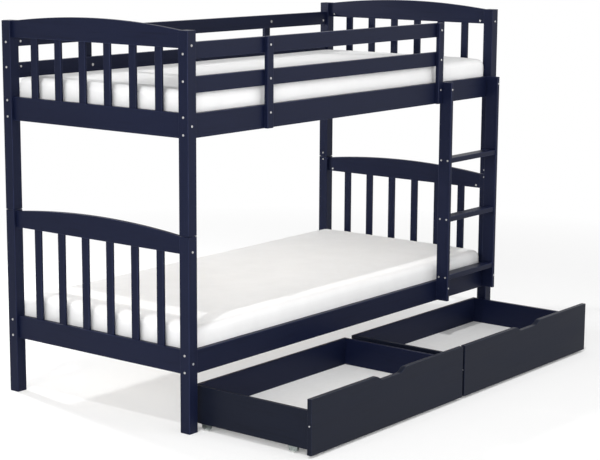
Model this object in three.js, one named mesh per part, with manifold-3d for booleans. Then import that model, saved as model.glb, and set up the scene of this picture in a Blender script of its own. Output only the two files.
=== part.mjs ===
// Bunk bed for two single mattresses, with a bolted ladder and two roll-out drawers.
// Millimetres, +Z up. X runs along the beds, -Y is the open front with the ladder.
// The origin is on the floor under the middle of the bed's and the pulled-out drawers' outline.
import * as THREE from 'three';
import { mergeVertices } from 'three/addons/utils/BufferGeometryUtils.js';
import Module from 'manifold-3d';

// Driving dimensions
const mattressLength = 2000;
const mattressWidth = 900;
const mattressThickness = 133;
const postHeight = 1490;
const lowerPostHeight = 744;
const postSize = 46;
const railThickness = 22;
const railHeight = 94;
const lowerRailBottom = 222;
const upperRailBelowTop = 390;
const endRailThickness = 20;
const drawerPull = 537;

// Clearances
const touchGap = 0.3;
const mattressSidePlay = 1;
const mattressEndPlay = 15;
const slatEndPlay = 3;
const cutOverrun = 1;

// Posts
const postEdgeRadius = 3;
const postEndChamfer = 1.6;
const pinDiameter = 10;
const pinLength = 32;
const pinSides = 24;

// Boards
const boardEdgeRadius = 2;
const boardEdgeSteps = 2;

// End panels
const archEndHeight = 64;
const archRise = 27;
const archSteps = 28;
const upperArchDrop = 1.5;
const lowerArchDrop = 6;
const endRailHeight = 92;
const spindleCount = 6;
const spindleWidth = 34;
const spindleThickness = 12;
const spindleTenon = 12;

// Guard rails and the stiles that hold them
const guardHeight = 60;
const guardBelowTop = 43;
const guardGap = 64;
const stileWidth = 36;
const stileThickness = 18;
const stileLadderGap = 2;
const stileTopProud = 2;

// Slatted bases
const ledgerWidth = 20;
const ledgerHeight = 24;
const slatThickness = 12;
const slatWidth = 70;
const slatCount = 13;
const slatFromEnd = 17;
const strapWidth = 30;
const strapThickness = 1.5;
const strapFromMiddle = 260;
const strapSink = 0.5;

// Mattresses
const mattressCornerRadius = 32;
const mattressCornerSteps = 5;
const mattressLongSteps = 10;
const mattressShortSteps = 5;
const mattressEdgeRound = 27;
const mattressCrown = 7;
const mattressDrawIn = 5;
// Levels of the side, from the bottom up: share of the thickness and share of the edge round
const mattressSideShares = [
  [0, 0.5], [0.07, 0.2], [0.2, 0.03], [0.45, 0], [0.68, 0.08], [0.83, 0.3], [0.93, 0.64],
];
// Rings of the top face: share of the way from the middle to the edge
const mattressTopShares = [0.98, 0.86, 0.62, 0.32];

// Ladder
const ladderRailThickness = 17;
const ladderRailDepth = 60;
const ladderWidth = 395;
const ladderPostGap = 3;
const ladderFromRailBottom = 4;
const ladderBelowRailTop = 2;
const treadCount = 3;
const treadDepth = 53;
const treadThickness = 22;
const treadAboveRail = 4;

// Drawers
const drawerFrontThickness = 20;
const drawerFrontHeight = 208;
const drawerFrontBottom = 10;
const drawerFrontGap = 14;
const drawerFrontEndGap = 10;
const drawerBoxInset = 17;
const drawerBoxDepth = 552;
const drawerBoxBottom = 25;
const drawerBoxHeight = 144;
const drawerSideThickness = 15;
const drawerPanelThickness = 3;
const drawerPanelBottom = 56;
const drawerGrooveDepth = 5;
const notchTopWidth = 184;
const notchBottomWidth = 122;
const notchDepth = 18;
const notchCornerRadius = 9;
const notchCornerSteps = 5;

// Castors
const wheelDiameter = 20;
const wheelWidth = 8;
const wheelTreadRound = 1;
const wheelSides = 32;
const axleDiameter = 3;
const axlePlay = 0.1;
const axleSides = 12;
const castorPlateLength = 44;
const castorPlateWidth = 15;
const castorPlateThickness = 1.4;
const castorEarThickness = 1.2;
const castorEarLength = 30;
const castorEarBelowAxle = 3;
const castorFromFront = 78;
const castorFromBack = 62;

// Sizes worked out from the ones above
const upperRailBottom = postHeight - upperRailBelowTop;
const railRecess = (postSize - railThickness) / 2;
const endRecess = (postSize - endRailThickness) / 2;
const bedWidth = mattressWidth + 2 * (mattressSidePlay + railThickness + railRecess);
const bedLength = mattressLength + 2 * (mattressEndPlay + endRailThickness + endRecess);
const postInnerX = bedLength / 2 - postSize;
const postInnerY = bedWidth / 2 - postSize;
const railOuterY = bedWidth / 2 - railRecess;
const railInnerY = railOuterY - railThickness;
const endRailMiddleX = bedLength / 2 - endRecess - endRailThickness / 2;
const railSpan = 2 * (postInnerX - touchGap);
const endSpan = 2 * (postInnerY - touchGap);
const ladderRight = postInnerX - ladderPostGap;
const stileFromMiddle = ladderRight - ladderWidth - stileLadderGap - stileWidth / 2;
const drawerFrontY = -railOuterY - drawerPull;
const stileMiddleY = railOuterY + touchGap + stileThickness / 2;
const bedMiddleY = -(drawerFrontY + stileMiddleY + stileThickness / 2) / 2;

// Materials
function makeFinish(color, roughness, metalness) {
  return new THREE.MeshStandardMaterial({ color, roughness, metalness });
}
const navyPaint = makeFinish(0x31354a, 0.5, 0);
const slatWood = makeFinish(0xcfae7d, 0.75, 0);
const mattressCover = makeFinish(0xe9e8e6, 0.9, 0);
const whiteBoard = makeFinish(0xe8e8e6, 0.45, 0);
const zincSteel = makeFinish(0xa8abaf, 0.35, 0.9);
const greyNylon = makeFinish(0xb7bcb8, 0.5, 0);

const wasm = await Module();
wasm.setup();

// Turns a closed geometry into a solid that can be joined and cut.
function toSolid(geometry) {
  const bare = geometry.clone();
  bare.deleteAttribute('normal');
  bare.deleteAttribute('uv');
  const merged = mergeVertices(bare);
  return new wasm.Manifold(new wasm.Mesh({
    numProp: 3,
    vertProperties: new Float32Array(merged.attributes.position.array),
    triVerts: new Uint32Array(merged.index.array),
  }));
}

// Turns a solid back into a geometry with its own normals.
function toGeometry(solid) {
  const mesh = solid.getMesh();
  const geometry = new THREE.BufferGeometry();
  geometry.setAttribute('position', new THREE.BufferAttribute(new Float32Array(mesh.vertProperties), 3));
  geometry.setIndex(new THREE.BufferAttribute(new Uint32Array(mesh.triVerts), 1));
  geometry.computeVertexNormals();
  return geometry;
}

// Makes one geometry of overlapping ones.
function join(...geometries) {
  return toGeometry(geometries.map(toSolid).reduce((whole, solid) => whole.add(solid)));
}

// Cuts the other geometries out of the first.
function cut(geometry, ...tools) {
  return toGeometry(tools.map(toSolid).reduce((whole, tool) => whole.subtract(tool), toSolid(geometry)));
}

// A rectangle with eased corners, centred on the origin of its own plane.
function easedRectangle(width, height, radius) {
  const shape = new THREE.Shape();
  const x = width / 2;
  const y = height / 2;
  shape.moveTo(-x + radius, -y);
  shape.lineTo(x - radius, -y);
  shape.absarc(x - radius, -y + radius, radius, -Math.PI / 2, 0);
  shape.lineTo(x, y - radius);
  shape.absarc(x - radius, y - radius, radius, 0, Math.PI / 2);
  shape.lineTo(-x + radius, y);
  shape.absarc(-x + radius, y - radius, radius, Math.PI / 2, Math.PI);
  shape.lineTo(-x, -y + radius);
  shape.absarc(-x + radius, -y + radius, radius, Math.PI, 3 * Math.PI / 2);
  return shape;
}

// Extrudes a shape to both sides of its plane.
function extrude(shape, depth, curveSegments = boardEdgeSteps) {
  const geometry = new THREE.ExtrudeGeometry(shape, { depth, bevelEnabled: false, curveSegments });
  return geometry.translate(0, 0, -depth / 2);
}

// Turns a geometry so that its x, y and z run along the three given axes.
function turn(geometry, xAxis, yAxis, zAxis) {
  return geometry.applyMatrix4(new THREE.Matrix4().makeBasis(xAxis, yAxis, zAxis));
}

const AXIS_X = new THREE.Vector3(1, 0, 0);
const AXIS_Y = new THREE.Vector3(0, 1, 0);
const AXIS_Z = new THREE.Vector3(0, 0, 1);
const AXIS_MINUS_Y = new THREE.Vector3(0, -1, 0);

// Shapes drawn in the Y-Z plane and extruded along X, and in the X-Z plane and extruded along Y.
function alongX(shape, length) {
  return turn(extrude(shape, length), AXIS_Y, AXIS_Z, AXIS_X);
}

function alongY(shape, length) {
  return turn(extrude(shape, length), AXIS_X, AXIS_Z, AXIS_MINUS_Y);
}

// Boards with eased long edges, by the axis that they run along.
function boardAlongX(length, width, height) {
  return alongX(easedRectangle(width, height, boardEdgeRadius), length);
}

function boardAlongY(width, length, height) {
  return alongY(easedRectangle(width, height, boardEdgeRadius), length);
}

function boardAlongZ(width, depth, height) {
  return extrude(easedRectangle(width, depth, boardEdgeRadius), height);
}

// A round bar along Z.
function roundBar(diameter, length, sides) {
  return new THREE.CylinderGeometry(diameter / 2, diameter / 2, length, sides).rotateX(Math.PI / 2);
}

const bed = new THREE.Group();
bed.position.y = bedMiddleY;

function addPiece(parent, name, geometry, material, x, y, z) {
  const mesh = new THREE.Mesh(geometry, material);
  mesh.name = name;
  mesh.position.set(x, y, z);
  parent.add(mesh);
  return mesh;
}

// Posts: each corner is a lower and an upper post, joined at the seam by a steel pin
// that is driven into the lower one, so the two beds can be lifted apart.
function postBody(height) {
  const shape = easedRectangle(
    postSize - 2 * postEndChamfer, postSize - 2 * postEndChamfer, postEdgeRadius - postEndChamfer);
  const body = new THREE.ExtrudeGeometry(shape, {
    depth: height - 2 * postEndChamfer,
    bevelThickness: postEndChamfer,
    bevelSize: postEndChamfer,
    bevelSegments: 1,
    curveSegments: boardEdgeSteps,
  });
  return body.translate(0, 0, postEndChamfer);
}

function lowerPost() {
  const height = lowerPostHeight - touchGap / 2;
  const pin = roundBar(pinDiameter, pinLength * 2, pinSides).translate(0, 0, height);
  return join(postBody(height), pin);
}

function upperPost() {
  const height = postHeight - lowerPostHeight - touchGap / 2;
  const bore = roundBar(pinDiameter + 2 * touchGap, 2 * (pinLength + touchGap), pinSides);
  return cut(postBody(height), bore);
}

const corners = [
  ['back_left', -1, 1], ['front_left', -1, -1], ['back_right', 1, 1], ['front_right', 1, -1],
];
for (const [name, sideX, sideY] of corners) {
  const x = sideX * (bedLength - postSize) / 2;
  const y = sideY * (bedWidth - postSize) / 2;
  addPiece(bed, `lower_post_${name}`, lowerPost(), navyPaint, x, y, 0);
  addPiece(bed, `upper_post_${name}`, upperPost(), navyPaint, x, y, lowerPostHeight + touchGap / 2);
}

// End panels: a crowned top rail, flat spindles and a bottom rail, dowelled and glued as one.
// The panel is drawn with its bottom rail's lower edge at z = 0.
function endPanel(panelHeight) {
  const archBottom = panelHeight - archEndHeight;
  const arch = new THREE.Shape();
  arch.moveTo(-endSpan / 2, archBottom);
  arch.lineTo(endSpan / 2, archBottom);
  for (let i = 0; i <= archSteps; i += 1) {
    const share = 1 - 2 * i / archSteps;
    arch.lineTo(share * endSpan / 2, panelHeight + archRise * (1 - share * share));
  }
  const bottomRail = boardAlongY(endRailThickness, endSpan, endRailHeight)
    .translate(0, 0, endRailHeight / 2);
  const pieces = [alongX(arch, endRailThickness), bottomRail];
  const spindleLength = archBottom - endRailHeight + 2 * spindleTenon;
  const gap = (endSpan - spindleCount * spindleWidth) / (spindleCount + 1);
  for (let i = 0; i < spindleCount; i += 1) {
    const y = -endSpan / 2 + gap + spindleWidth / 2 + i * (gap + spindleWidth);
    pieces.push(boardAlongZ(spindleThickness, spindleWidth, spindleLength)
      .translate(0, y, (archBottom + endRailHeight) / 2));
  }
  return join(...pieces);
}

const panels = [
  ['upper_end', upperRailBottom, postHeight - upperArchDrop],
  ['lower_end', lowerRailBottom, lowerPostHeight - lowerArchDrop],
];
for (const [name, bottom, archEndTop] of panels) {
  addPiece(bed, `${name}_left`, endPanel(archEndTop - bottom), navyPaint, -endRailMiddleX, 0, bottom);
  addPiece(bed, `${name}_right`, endPanel(archEndTop - bottom), navyPaint, endRailMiddleX, 0, bottom);
}

// Side rails: a board on edge, with the slats' ledger glued and screwed along its inner face.
// The section is drawn with the rail's outer face towards +Y and its middle on the origin.
function sideRail() {
  const ledger = new THREE.Shape();
  const inner = -railThickness / 2;
  const bottom = -railHeight / 2;
  ledger.moveTo(inner - ledgerWidth, bottom);
  ledger.lineTo(0, bottom + boardEdgeRadius);
  ledger.lineTo(0, bottom + ledgerHeight);
  ledger.lineTo(inner - ledgerWidth, bottom + ledgerHeight);
  return join(boardAlongX(railSpan, railThickness, railHeight), alongX(ledger, railSpan));
}

const railMiddleY = (railOuterY + railInnerY) / 2;
for (const [name, bottom] of [['upper', upperRailBottom], ['lower', lowerRailBottom]]) {
  const z = bottom + railHeight / 2;
  addPiece(bed, `${name}_side_rail_back`, sideRail(), navyPaint, 0, railMiddleY, z);
  addPiece(bed, `${name}_side_rail_front`, sideRail(), navyPaint, 0, -railMiddleY, z).rotation.z = Math.PI;
}

// Guard rails: the back ones run from post to post, the front ones stop at the ladder's stile.
const upperGuardBottom = postHeight - guardBelowTop - guardHeight;
const lowerGuardBottom = upperGuardBottom - guardGap - guardHeight;
const frontGuardEnd = stileFromMiddle + stileWidth / 2;
const frontGuardLength = frontGuardEnd + postInnerX - touchGap;
for (const [name, bottom] of [['top', upperGuardBottom], ['middle', lowerGuardBottom]]) {
  const z = bottom + guardHeight / 2;
  addPiece(bed, `guard_rail_back_${name}`, boardAlongX(railSpan, railThickness, guardHeight),
    navyPaint, 0, railMiddleY, z);
  addPiece(bed, `guard_rail_front_${name}`, boardAlongX(frontGuardLength, railThickness, guardHeight),
    navyPaint, frontGuardEnd - frontGuardLength / 2, -railMiddleY, z);
}

// Stiles: upright boards bolted across the outside of the side rail and both guard rails.
const stileHeight = upperGuardBottom + guardHeight + stileTopProud - upperRailBottom;
for (const [name, sideX, sideY] of corners) {
  addPiece(bed, `guard_stile_${name}`, boardAlongZ(stileWidth, stileThickness, stileHeight), navyPaint,
    sideX * stileFromMiddle, sideY * stileMiddleY, upperRailBottom + stileHeight / 2);
}

// Slatted bases: loose slats joined by two webbing straps, laid on the ledgers.
function slatBase() {
  const slatLength = 2 * (railInnerY - slatEndPlay);
  const firstX = -(postInnerX - slatFromEnd - slatWidth / 2);
  const pitch = -2 * firstX / (slatCount - 1);
  const pieces = [];
  for (let i = 0; i < slatCount; i += 1) {
    pieces.push(boardAlongY(slatWidth, slatLength, slatThickness).translate(firstX + i * pitch, 0, 0));
  }
  const strapLength = -2 * firstX + slatWidth / 2;
  const strapZ = -(slatThickness + strapThickness) / 2 + strapSink;
  for (const side of [-1, 1]) {
    pieces.push(new THREE.BoxGeometry(strapLength, strapWidth, strapThickness)
      .translate(0, side * strapFromMiddle, strapZ));
  }
  return join(...pieces);
}

const slatRise = ledgerHeight + touchGap + slatThickness / 2;
addPiece(bed, 'upper_slat_base', slatBase(), slatWood, 0, 0, upperRailBottom + slatRise);
addPiece(bed, 'lower_slat_base', slatBase(), slatWood, 0, 0, lowerRailBottom + slatRise);

// Mattresses: round-cornered pads with a crowned top and sides drawn in between the corners.
// The plan is a list of points with the outward direction in which each is inset.
function mattressPlan() {
  const points = [];
  const x = mattressLength / 2 - mattressCornerRadius;
  const y = mattressWidth / 2 - mattressCornerRadius;
  const addSide = (from, to, out, steps) => {
    for (let i = 1; i < steps; i += 1) {
      const share = i / steps;
      const point = from.clone().lerp(to, share);
      point.addScaledVector(out, mattressCornerRadius - mattressDrawIn * Math.sin(Math.PI * share));
      points.push({ point, out });
    }
  };
  const addCorner = (middle, start) => {
    for (let i = 0; i <= mattressCornerSteps; i += 1) {
      const angle = start + Math.PI / 2 * i / mattressCornerSteps;
      const out = new THREE.Vector2(Math.cos(angle), Math.sin(angle));
      points.push({ point: middle.clone().addScaledVector(out, mattressCornerRadius), out });
    }
  };
  const middles = [[x, y], [-x, y], [-x, -y], [x, -y]].map(([mx, my]) => new THREE.Vector2(mx, my));
  middles.forEach((middle, i) => {
    const next = middles[(i + 1) % middles.length];
    const start = i * Math.PI / 2;
    addCorner(middle, start);
    const out = new THREE.Vector2(Math.cos(start + Math.PI / 2), Math.sin(start + Math.PI / 2));
    addSide(middle, next, out, i % 2 === 0 ? mattressLongSteps : mattressShortSteps);
  });
  return points;
}

function mattress() {
  const plan = mattressPlan();
  const positions = [];
  for (const [heightShare, insetShare] of mattressSideShares) {
    for (const { point, out } of plan) {
      const place = point.clone().addScaledVector(out, -insetShare * mattressEdgeRound);
      positions.push(place.x, place.y, heightShare * (mattressThickness - mattressCrown));
    }
  }
  for (const share of mattressTopShares) {
    for (const { point, out } of plan) {
      const edge = point.clone().addScaledVector(out, -mattressEdgeRound);
      const z = mattressThickness - mattressCrown * share ** 2;
      positions.push(edge.x * share, edge.y * share, z);
    }
  }
  const rings = mattressSideShares.length + mattressTopShares.length;
  const topMiddle = positions.length / 3;
  positions.push(0, 0, mattressThickness, 0, 0, 0);
  const bottomMiddle = topMiddle + 1;
  const count = plan.length;
  const index = [];
  for (let i = 0; i < count; i += 1) {
    const next = (i + 1) % count;
    for (let ring = 0; ring + 1 < rings; ring += 1) {
      const low = ring * count;
      const high = low + count;
      index.push(low + i, low + next, high + next, low + i, high + next, high + i);
    }
    const last = (rings - 1) * count;
    index.push(last + i, last + next, topMiddle, next, i, bottomMiddle);
  }
  const geometry = new THREE.BufferGeometry();
  geometry.setAttribute('position', new THREE.Float32BufferAttribute(positions, 3));
  geometry.setIndex(index);
  geometry.computeVertexNormals();
  return geometry;
}

const mattressRise = ledgerHeight + slatThickness + 2 * touchGap;
addPiece(bed, 'upper_mattress', mattress(), mattressCover, 0, 0, upperRailBottom + mattressRise);
addPiece(bed, 'lower_mattress', mattress(), mattressCover, 0, 0, lowerRailBottom + mattressRise);

// Ladder: two boards on edge, bolted to the front of both side rails, with flat treads between.
const ladderMiddleX = ladderRight - ladderWidth / 2;
const ladderRailX = (ladderWidth - ladderRailThickness) / 2;
const ladderY = -(railOuterY + touchGap + ladderRailDepth / 2);
const ladderBottom = lowerRailBottom + ladderFromRailBottom;
const ladderHeight = upperRailBottom + railHeight - ladderBelowRailTop - ladderBottom;
for (const [name, side] of [['left', -1], ['right', 1]]) {
  const rail = boardAlongZ(ladderRailThickness, ladderRailDepth, ladderHeight);
  addPiece(bed, `ladder_rail_${name}`, rail, navyPaint,
    ladderMiddleX + side * ladderRailX, ladderY, ladderBottom + ladderHeight / 2);
}
const treadLength = ladderWidth - 2 * (ladderRailThickness + touchGap);
const treadLowest = lowerRailBottom + railHeight + treadAboveRail + treadThickness / 2;
const treadPitch = (upperRailBottom + treadThickness / 2 - treadLowest) / treadCount;
for (let i = 0; i < treadCount; i += 1) {
  addPiece(bed, `ladder_tread_${i + 1}`, boardAlongX(treadLength, treadDepth, treadThickness), navyPaint,
    ladderMiddleX, ladderY, treadLowest + i * treadPitch);
}

// Drawers: a front board with a finger notch, two sides and a back, and a thin bottom in grooves.
// Each drawer group has its origin on the floor, at the middle of its front's outer face.
const drawerFrontWidth = (2 * (postInnerX - drawerFrontEndGap) - drawerFrontGap) / 2;
const drawerBoxWidth = drawerFrontWidth - 2 * drawerBoxInset;
const grooveHeight = drawerPanelThickness + 2 * touchGap;
const grooveMiddle = drawerPanelBottom + drawerPanelThickness / 2;

function drawerFront() {
  const top = drawerFrontHeight;
  const shape = new THREE.Shape();
  const right = drawerFrontWidth / 2;
  shape.moveTo(-right, 0);
  shape.lineTo(right, 0);
  shape.lineTo(right, top);
  const slope = (notchTopWidth - notchBottomWidth) / 2;
  const run = Math.hypot(slope, notchDepth);
  const cornerX = notchCornerRadius * slope / run;
  const cornerZ = notchCornerRadius * notchDepth / run;
  for (const side of [1, -1]) {
    const outer = [side * notchTopWidth / 2, top];
    const lower = [side * notchBottomWidth / 2, top - notchDepth];
    const ends = [
      [[outer[0] + side * notchCornerRadius, top], outer, [outer[0] - side * cornerX, top - cornerZ]],
      [
        [lower[0] + side * cornerX, lower[1] + cornerZ], lower,
        [lower[0] - side * notchCornerRadius, lower[1]],
      ],
    ];
    const ordered = side > 0 ? ends : ends.reverse().map((curve) => curve.reverse());
    for (const [from, bend, to] of ordered) {
      shape.lineTo(from[0], from[1]);
      shape.quadraticCurveTo(bend[0], bend[1], to[0], to[1]);
    }
  }
  shape.lineTo(-right, top);
  const board = turn(extrude(shape, drawerFrontThickness, notchCornerSteps), AXIS_X, AXIS_Z, AXIS_MINUS_Y);
  const grooveY = (drawerFrontThickness - drawerGrooveDepth + cutOverrun) / 2;
  const groove = new THREE.BoxGeometry(drawerBoxWidth, drawerGrooveDepth + cutOverrun, grooveHeight)
    .translate(0, grooveY, grooveMiddle - drawerFrontBottom);
  return cut(board, groove);
}

// A box side's section, with the bottom's groove in the face towards +x.
function groovedSection() {
  const right = drawerSideThickness / 2;
  const grooveLow = grooveMiddle - grooveHeight / 2;
  const grooveHigh = grooveMiddle + grooveHeight / 2;
  const shape = new THREE.Shape();
  shape.moveTo(-right, drawerBoxBottom);
  shape.lineTo(right, drawerBoxBottom);
  shape.lineTo(right, grooveLow);
  shape.lineTo(right - drawerGrooveDepth, grooveLow);
  shape.lineTo(right - drawerGrooveDepth, grooveHigh);
  shape.lineTo(right, grooveHigh);
  shape.lineTo(right, drawerBoxBottom + drawerBoxHeight - boardEdgeRadius);
  shape.lineTo(right - boardEdgeRadius, drawerBoxBottom + drawerBoxHeight);
  shape.lineTo(-right + boardEdgeRadius, drawerBoxBottom + drawerBoxHeight);
  shape.lineTo(-right, drawerBoxBottom + drawerBoxHeight - boardEdgeRadius);
  return shape;
}

// Castors: a steel plate with two ears and an axle pin, under the edge of a box side.
function castorBracket() {
  const axleHeight = wheelDiameter / 2;
  const plateTop = drawerBoxBottom - touchGap;
  const plate = new THREE.BoxGeometry(castorPlateWidth, castorPlateLength, castorPlateThickness)
    .translate(0, 0, plateTop - castorPlateThickness / 2);
  const earHeight = plateTop - axleHeight + castorEarBelowAxle;
  const earX = wheelWidth / 2 + touchGap + castorEarThickness / 2;
  const pieces = [plate];
  for (const side of [-1, 1]) {
    pieces.push(new THREE.BoxGeometry(castorEarThickness, castorEarLength, earHeight)
      .translate(side * earX, 0, plateTop - earHeight / 2));
  }
  const axleLength = 2 * earX + castorEarThickness;
  const axle = roundBar(axleDiameter, axleLength, axleSides).rotateY(Math.PI / 2);
  pieces.push(axle.translate(0, 0, axleHeight));
  return join(...pieces);
}

// A wheel turned about X, with a clear bore for the axle.
function castorWheel() {
  const bore = axleDiameter / 2 + axlePlay;
  const radius = wheelDiameter / 2;
  const half = wheelWidth / 2;
  const profile = [
    [bore, -half], [radius - wheelTreadRound, -half], [radius, -half + wheelTreadRound],
    [radius, half - wheelTreadRound], [radius - wheelTreadRound, half], [bore, half], [bore, -half],
  ].map(([r, x]) => new THREE.Vector2(r, x));
  return new THREE.LatheGeometry(profile, wheelSides).rotateZ(-Math.PI / 2);
}

function addDrawer(name, middleX) {
  const drawer = new THREE.Group();
  drawer.position.set(middleX, drawerFrontY, 0);
  bed.add(drawer);
  const boxFrontY = drawerFrontThickness + touchGap;
  const boxBackY = boxFrontY + drawerBoxDepth;
  const sideX = (drawerBoxWidth - drawerSideThickness) / 2;
  const sideY = (boxFrontY + boxBackY) / 2;
  addPiece(drawer, `${name}_front`, drawerFront(), navyPaint,
    0, drawerFrontThickness / 2, drawerFrontBottom);
  for (const [side, x, angle] of [['left', -sideX, 0], ['right', sideX, Math.PI]]) {
    addPiece(drawer, `${name}_side_${side}`, alongY(groovedSection(), drawerBoxDepth), navyPaint,
      x, sideY, 0).rotation.z = angle;
  }
  const backLength = drawerBoxWidth - 2 * (drawerSideThickness + touchGap);
  const backY = boxBackY - drawerSideThickness / 2;
  addPiece(drawer, `${name}_back`, alongX(groovedSection(), backLength), navyPaint, 0, backY, 0)
    .rotation.z = Math.PI;
  const panelInset = drawerSideThickness - drawerGrooveDepth + touchGap;
  const panelWidth = drawerBoxWidth - 2 * panelInset;
  const panelFrontY = drawerFrontThickness - drawerGrooveDepth + touchGap;
  const panelBackY = boxBackY - panelInset;
  addPiece(drawer, `${name}_bottom`,
    new THREE.BoxGeometry(panelWidth, panelBackY - panelFrontY, drawerPanelThickness), whiteBoard,
    0, (panelFrontY + panelBackY) / 2, grooveMiddle);
  const castors = [
    ['front_left', -1, boxFrontY + castorFromFront], ['front_right', 1, boxFrontY + castorFromFront],
    ['back_left', -1, boxBackY - castorFromBack], ['back_right', 1, boxBackY - castorFromBack],
  ];
  for (const [place, side, y] of castors) {
    addPiece(drawer, `${name}_castor_${place}`, castorBracket(), zincSteel, side * sideX, y, 0);
    addPiece(drawer, `${name}_wheel_${place}`, castorWheel(), greyNylon, side * sideX, y, wheelDiameter / 2);
  }
}

addDrawer('drawer_left', -(drawerFrontWidth + drawerFrontGap) / 2);
addDrawer('drawer_right', (drawerFrontWidth + drawerFrontGap) / 2);

const group = new THREE.Group();
group.add(bed);
export default group;
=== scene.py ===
import math

import bmesh
import bpy
import numpy as np
from mathutils import Matrix, Vector, noise


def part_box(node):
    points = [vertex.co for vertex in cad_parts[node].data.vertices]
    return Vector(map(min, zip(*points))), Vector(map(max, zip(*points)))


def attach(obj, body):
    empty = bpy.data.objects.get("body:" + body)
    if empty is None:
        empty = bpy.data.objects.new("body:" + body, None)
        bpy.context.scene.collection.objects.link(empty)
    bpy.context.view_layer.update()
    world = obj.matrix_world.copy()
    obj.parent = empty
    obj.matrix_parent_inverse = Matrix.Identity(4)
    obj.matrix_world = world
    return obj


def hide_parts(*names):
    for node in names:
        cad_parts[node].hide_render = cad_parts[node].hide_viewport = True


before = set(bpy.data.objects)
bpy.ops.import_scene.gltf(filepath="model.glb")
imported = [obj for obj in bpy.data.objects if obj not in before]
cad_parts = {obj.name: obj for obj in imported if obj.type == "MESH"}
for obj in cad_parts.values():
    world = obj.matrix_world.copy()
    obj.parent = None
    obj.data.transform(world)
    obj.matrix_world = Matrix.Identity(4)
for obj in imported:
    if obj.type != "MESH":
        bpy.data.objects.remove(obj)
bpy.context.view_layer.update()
scene = bpy.context.scene
scene.view_settings.view_transform = "Standard"

# Camera: a long lens about seven metres off, in front of the left corner and a little above the
# bed. Its place and turn were solved from the photograph's corners and bolts.
camera_place = Vector((-5.5607, -4.2590, 1.8704))
camera_yaw = math.radians(51.788)
camera_down = math.radians(10.200)
camera_roll = math.radians(0.299)
camera = bpy.data.objects.new("camera", bpy.data.cameras.new("camera"))
camera.data.sensor_width = 36.0
camera.data.lens = 101.725
camera.data.shift_x = 0.01195
camera.data.shift_y = -0.00441
camera.data.clip_end = 100.0
turned = Matrix.Rotation(-camera_yaw, 4, "Z")
tilted = Matrix.Rotation(math.pi / 2 - camera_down, 4, "X")
rolled = Matrix.Rotation(camera_roll, 4, "Z")
camera.matrix_world = Matrix.Translation(camera_place) @ turned @ tilted @ rolled
scene.collection.objects.link(camera)
scene.camera = camera

# Studio light: dim white surroundings, a distant lamp high at the left for the shadows, a small
# one behind the bed, and soft boxes beside the camera, left, right, low in front and above it.
surround_level = 0.24
white = (1.0, 1.0, 1.0, 1.0)


def add_node(owner, kind, values=(), **settings):
    """A shader node of a material or of the world, with its sockets' values and its settings."""
    made = owner.node_tree.nodes.new(kind)
    for key, value in settings.items():
        setattr(made, key, value)
    for key, value in dict(values).items():
        made.inputs[key].default_value = value
    return made


def wire(owner, *pairs):
    for source, target in pairs:
        owner.node_tree.links.new(source, target)


def add_math(owner, operation, first, second):
    made = add_node(owner, "ShaderNodeMath", operation=operation)
    wire(owner, (first, made.inputs[0]), (second, made.inputs[1]))
    return made.outputs[0]


def seen_share(owner):
    """1 for a ray from the camera, a glossy face or a clear one, and 0 for any other."""
    path = add_node(owner, "ShaderNodeLightPath").outputs
    direct = add_math(owner, "MAXIMUM", path["Is Camera Ray"], path["Is Glossy Ray"])
    return add_math(owner, "MAXIMUM", direct, path["Is Transmission Ray"])


world = bpy.data.worlds.new("studio")
world.use_nodes = True
scene.world = world
surround = world.node_tree.nodes["Background"]
surround.inputs["Color"].default_value = white
surround.inputs["Strength"].default_value = surround_level
backdrop = add_node(world, "ShaderNodeBackground", {"Color": white, "Strength": 1.0})
world_mix = add_node(world, "ShaderNodeMixShader")
wire(
    world, (seen_share(world), world_mix.inputs["Fac"]), (surround.outputs[0], world_mix.inputs[1]),
    (backdrop.outputs[0], world_mix.inputs[2]),
    (world_mix.outputs[0], world.node_tree.nodes["World Output"].inputs["Surface"]))


def add_lamp(name, kind, place, target, power, size):
    """A lamp aimed at a point. Its size is an angle for a sun and a width for a soft box."""
    light = bpy.data.lights.new(name, kind)
    light.energy = power
    if kind == "SUN":
        light.angle = size
    else:
        light.shape = "DISK"
        light.size = size
    lamp = bpy.data.objects.new(name, light)
    aim = Vector(target) - Vector(place)
    turn = aim.to_track_quat("-Z", "Y").to_matrix().to_4x4()
    lamp.matrix_world = Matrix.Translation(place) @ turn
    scene.collection.objects.link(lamp)


add_lamp("key", "SUN", (-2.19, -0.81, 6.0), (0.0, 0.0, 0.0), power=1.00, size=math.radians(0.9))
add_lamp("back", "AREA", (-0.6, 3.13, 1.9), (0.0, 0.3, 0.3), power=91.0, size=0.25)
add_lamp("right_box", "AREA", (3.6, -5.2, 2.2), (0.2, 0.0, 0.7), power=52.0, size=3.0)
add_lamp("front_box", "AREA", (0.3, -3.6, 4.6), (0.0, -0.4, 0.3), power=42.0, size=3.0)
add_lamp("low_box", "AREA", (-1.4, -5.6, 0.9), (0.0, 0.0, 0.5), power=66.0, size=2.4)
add_lamp("left_box", "AREA", (-5.5, -0.5, 2.4), (0.0, 0.0, 0.7), power=60.0, size=3.0)
add_lamp("near_box", "AREA", (-5.2, -3.4, 1.8), (0.0, 0.0, 0.7), power=168.0, size=2.6)

# Floor: a plain white studio floor, lit like everything else, so that it keeps the shadows.
# Seen directly or in a reflection it is half self-lit, and far out it is as white as the backdrop;
# close under or beside the bed an occlusion mask darkens that glow, which is painted shade.
floor_white = (0.97, 0.97, 0.97)
floor_level = 0.55
floor_fade = (2.4, 4.2)
floor_reach = 14.0
painted_shade_reach = 0.10
painted_shade_samples = 8


def new_material(name, base, rough, specular):
    """A material with its even values on the shader's own sockets."""
    material = bpy.data.materials.new(name)
    material.use_nodes = True
    shader = material.node_tree.nodes["Principled BSDF"]
    shader.inputs["Base Color"].default_value = (*base, 1.0)
    shader.inputs["Roughness"].default_value = rough
    shader.inputs["Specular IOR Level"].default_value = specular
    return material, shader


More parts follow.
